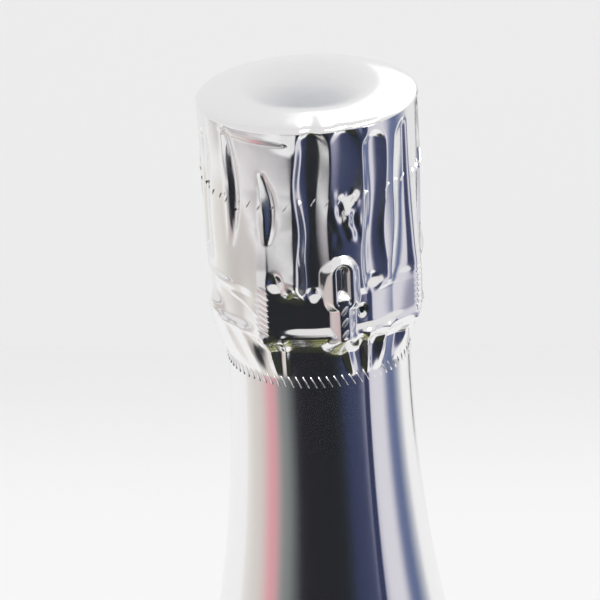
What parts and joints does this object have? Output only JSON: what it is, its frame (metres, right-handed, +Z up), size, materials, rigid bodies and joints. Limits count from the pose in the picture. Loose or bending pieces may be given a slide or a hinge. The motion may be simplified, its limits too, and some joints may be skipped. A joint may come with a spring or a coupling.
{
  "type": "champagne bottle",
  "caption": "Closed sparkling wine bottle with a punted base, wired mushroom cork and a foil hood that lifts off.",
  "frame": {"origin": "centre of the base, in the plane of the ring that the bottle stands on", "axes": "+Z up along the bottle's axis, -Y towards the viewer of the picture, +X to that viewer's right"},
  "size_m": [0.0884, 0.0884, 0.3205],
  "materials": {
    "bottle_glass": "moulded dark green glass, smooth and glossy",
    "wine": "clear pale gold liquid",
    "pressed_cork": "pressed cork granules, matt",
    "natural_cork": "cut natural cork, matt with dark pores",
    "tinplate": "plain lacquered tinplate",
    "steel_wire": "drawn and galvanised wire",
    "silver_foil": "bright silver foil, creased"
  },
  "bodies": {
    "bottle": {"glass_bottle": "bottle_glass", "wine": "wine", "foil_neck_sleeve": "silver_foil"},
    "cork": {"cork_body": "pressed_cork", "cork_disc_upper": "natural_cork", "cork_disc_lower": "natural_cork"},
    "cage": {"plaque": "tinplate", "cage_frame": "steel_wire", "leg_eyelet_1": "steel_wire", "leg_eyelet_2": "steel_wire", "leg_eyelet_3": "steel_wire", "leg_eyelet_4": "steel_wire", "belt_wire": "steel_wire"},
    "key": {"wire_key": "steel_wire", "foil_key_flap": "silver_foil"},
    "foil_hood": {"foil_head_disc": "silver_foil", "foil_crown": "silver_foil", "foil_tear_band": "silver_foil"}
  },
  "joints": [
    {"name": "cork_draw", "type": "slide", "parent": "bottle", "child": "cork", "axis": [0, 0, 1], "range_m": [0, 0.03]},
    {"name": "cage_lift", "type": "slide", "parent": "cork", "child": "cage", "axis": [0, 0, 1], "range_m": [0, 0.042], "deforming": ["belt_wire", "leg_eyelet_1", "leg_eyelet_2", "leg_eyelet_3", "leg_eyelet_4"]},
    {"name": "key_fold", "type": "hinge", "parent": "cage", "child": "key", "pos_m": [0.00396, -0.01715, 0.2844], "axis": [0.9744, 0.225, 0], "range_deg": [0, 115]},
    {"name": "foil_lift", "type": "slide", "parent": "cage", "child": "foil_hood", "axis": [0, 0, 1], "range_m": [0, 0.05], "deforming": ["foil_tear_band"]}
  ]
}
